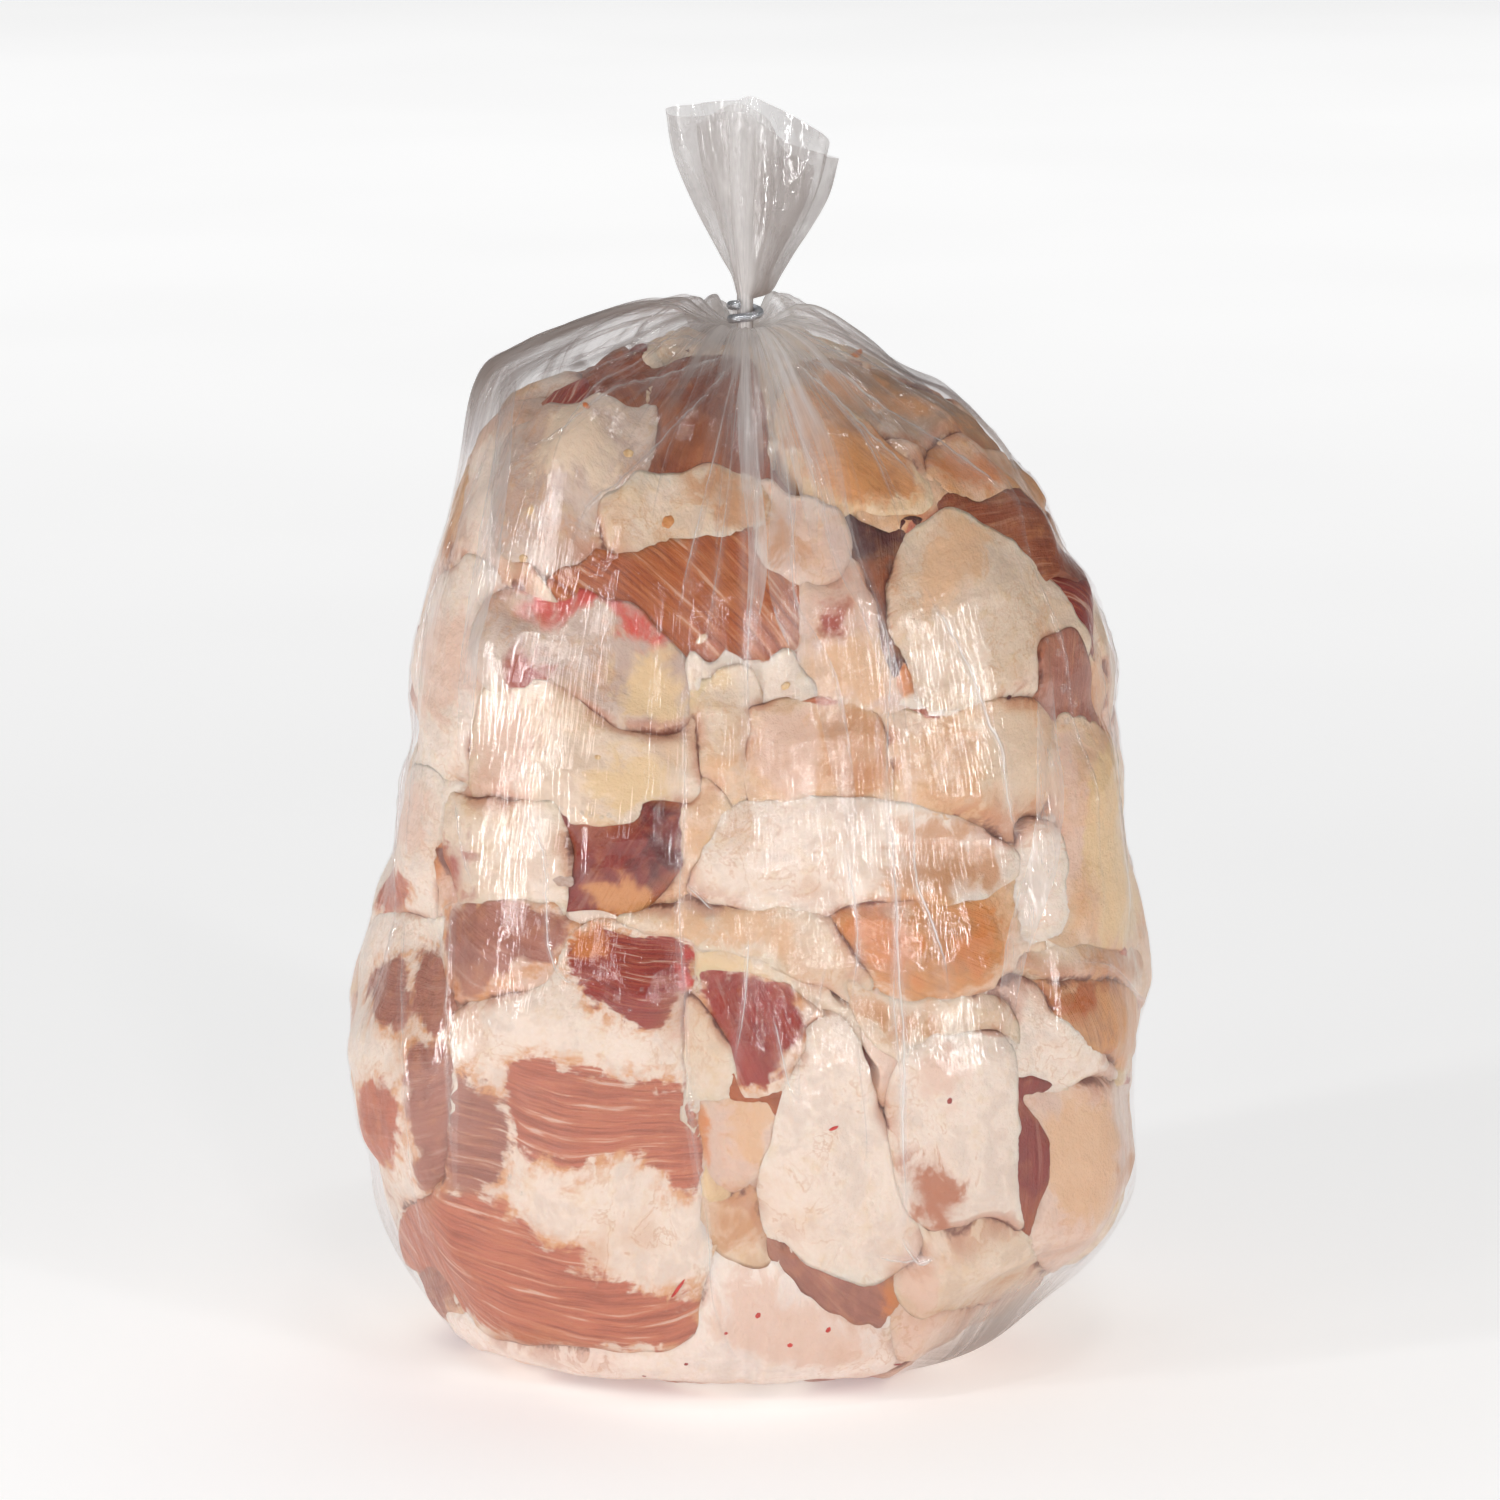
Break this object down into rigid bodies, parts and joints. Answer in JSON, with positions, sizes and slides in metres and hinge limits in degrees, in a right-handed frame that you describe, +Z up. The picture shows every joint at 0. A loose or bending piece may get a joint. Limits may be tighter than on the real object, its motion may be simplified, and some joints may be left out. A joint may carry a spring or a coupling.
{
  "type": "bag of pork fat trimmings",
  "caption": "Clear film bag packed with pork fat trimmings, standing on its base, drawn together at the top and shut by a wire clip under a tail of gathered film.",
  "frame": {"origin": "on the floor under the middle of the object's box", "axes": "+Z up from the base to the gathered tail, -Y to the front that shows in the picture, +X to the viewer's right"},
  "size_m": [0.2052, 0.151, 0.316],
  "materials": {
    "film": "clear thin film, clinging and wet inside, milky where it is folded",
    "fat": "cream to pale pink raw fat, wet, with fine sinew",
    "lean": "raw lean, brown-red with pale fibres, wet",
    "wire": "drawn and pressed wire, satin"
  },
  "bodies": {
    "root": {"bag": "film", "clip": "wire"}
  },
  "joints": []
}
